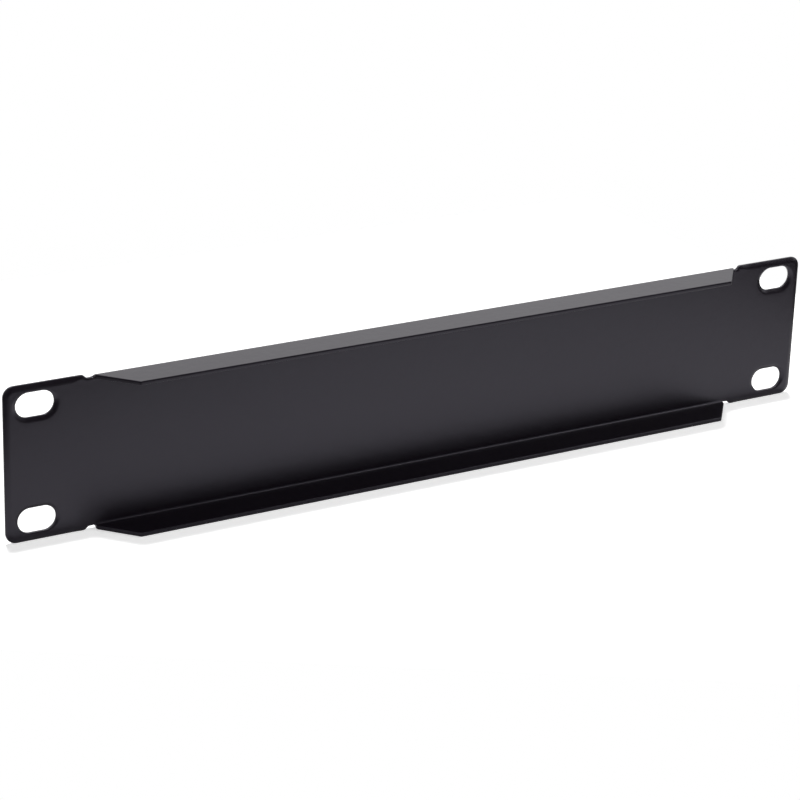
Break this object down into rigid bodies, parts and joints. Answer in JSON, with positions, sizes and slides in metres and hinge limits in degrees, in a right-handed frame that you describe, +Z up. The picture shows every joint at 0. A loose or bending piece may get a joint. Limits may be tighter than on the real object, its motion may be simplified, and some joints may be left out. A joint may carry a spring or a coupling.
{
  "type": "rack blanking panel",
  "caption": "Folded sheet-metal blanking panel for a ten-inch rack, one unit high, with flat slotted ears, fold reliefs and two chamfered rear flanges.",
  "frame": {"origin": "centre of the four bolt slots, on the rear face of the ears", "axes": "+X along the panel, +Y backwards into the rack, the way the flanges point, +Z up"},
  "size_m": [0.254, 0.0117, 0.043],
  "materials": {
    "black_powder_coat": "fine-textured satin black powder coat on all faces"
  },
  "bodies": {
    "root": {"blanking_panel": "black_powder_coat"}
  },
  "joints": []
}
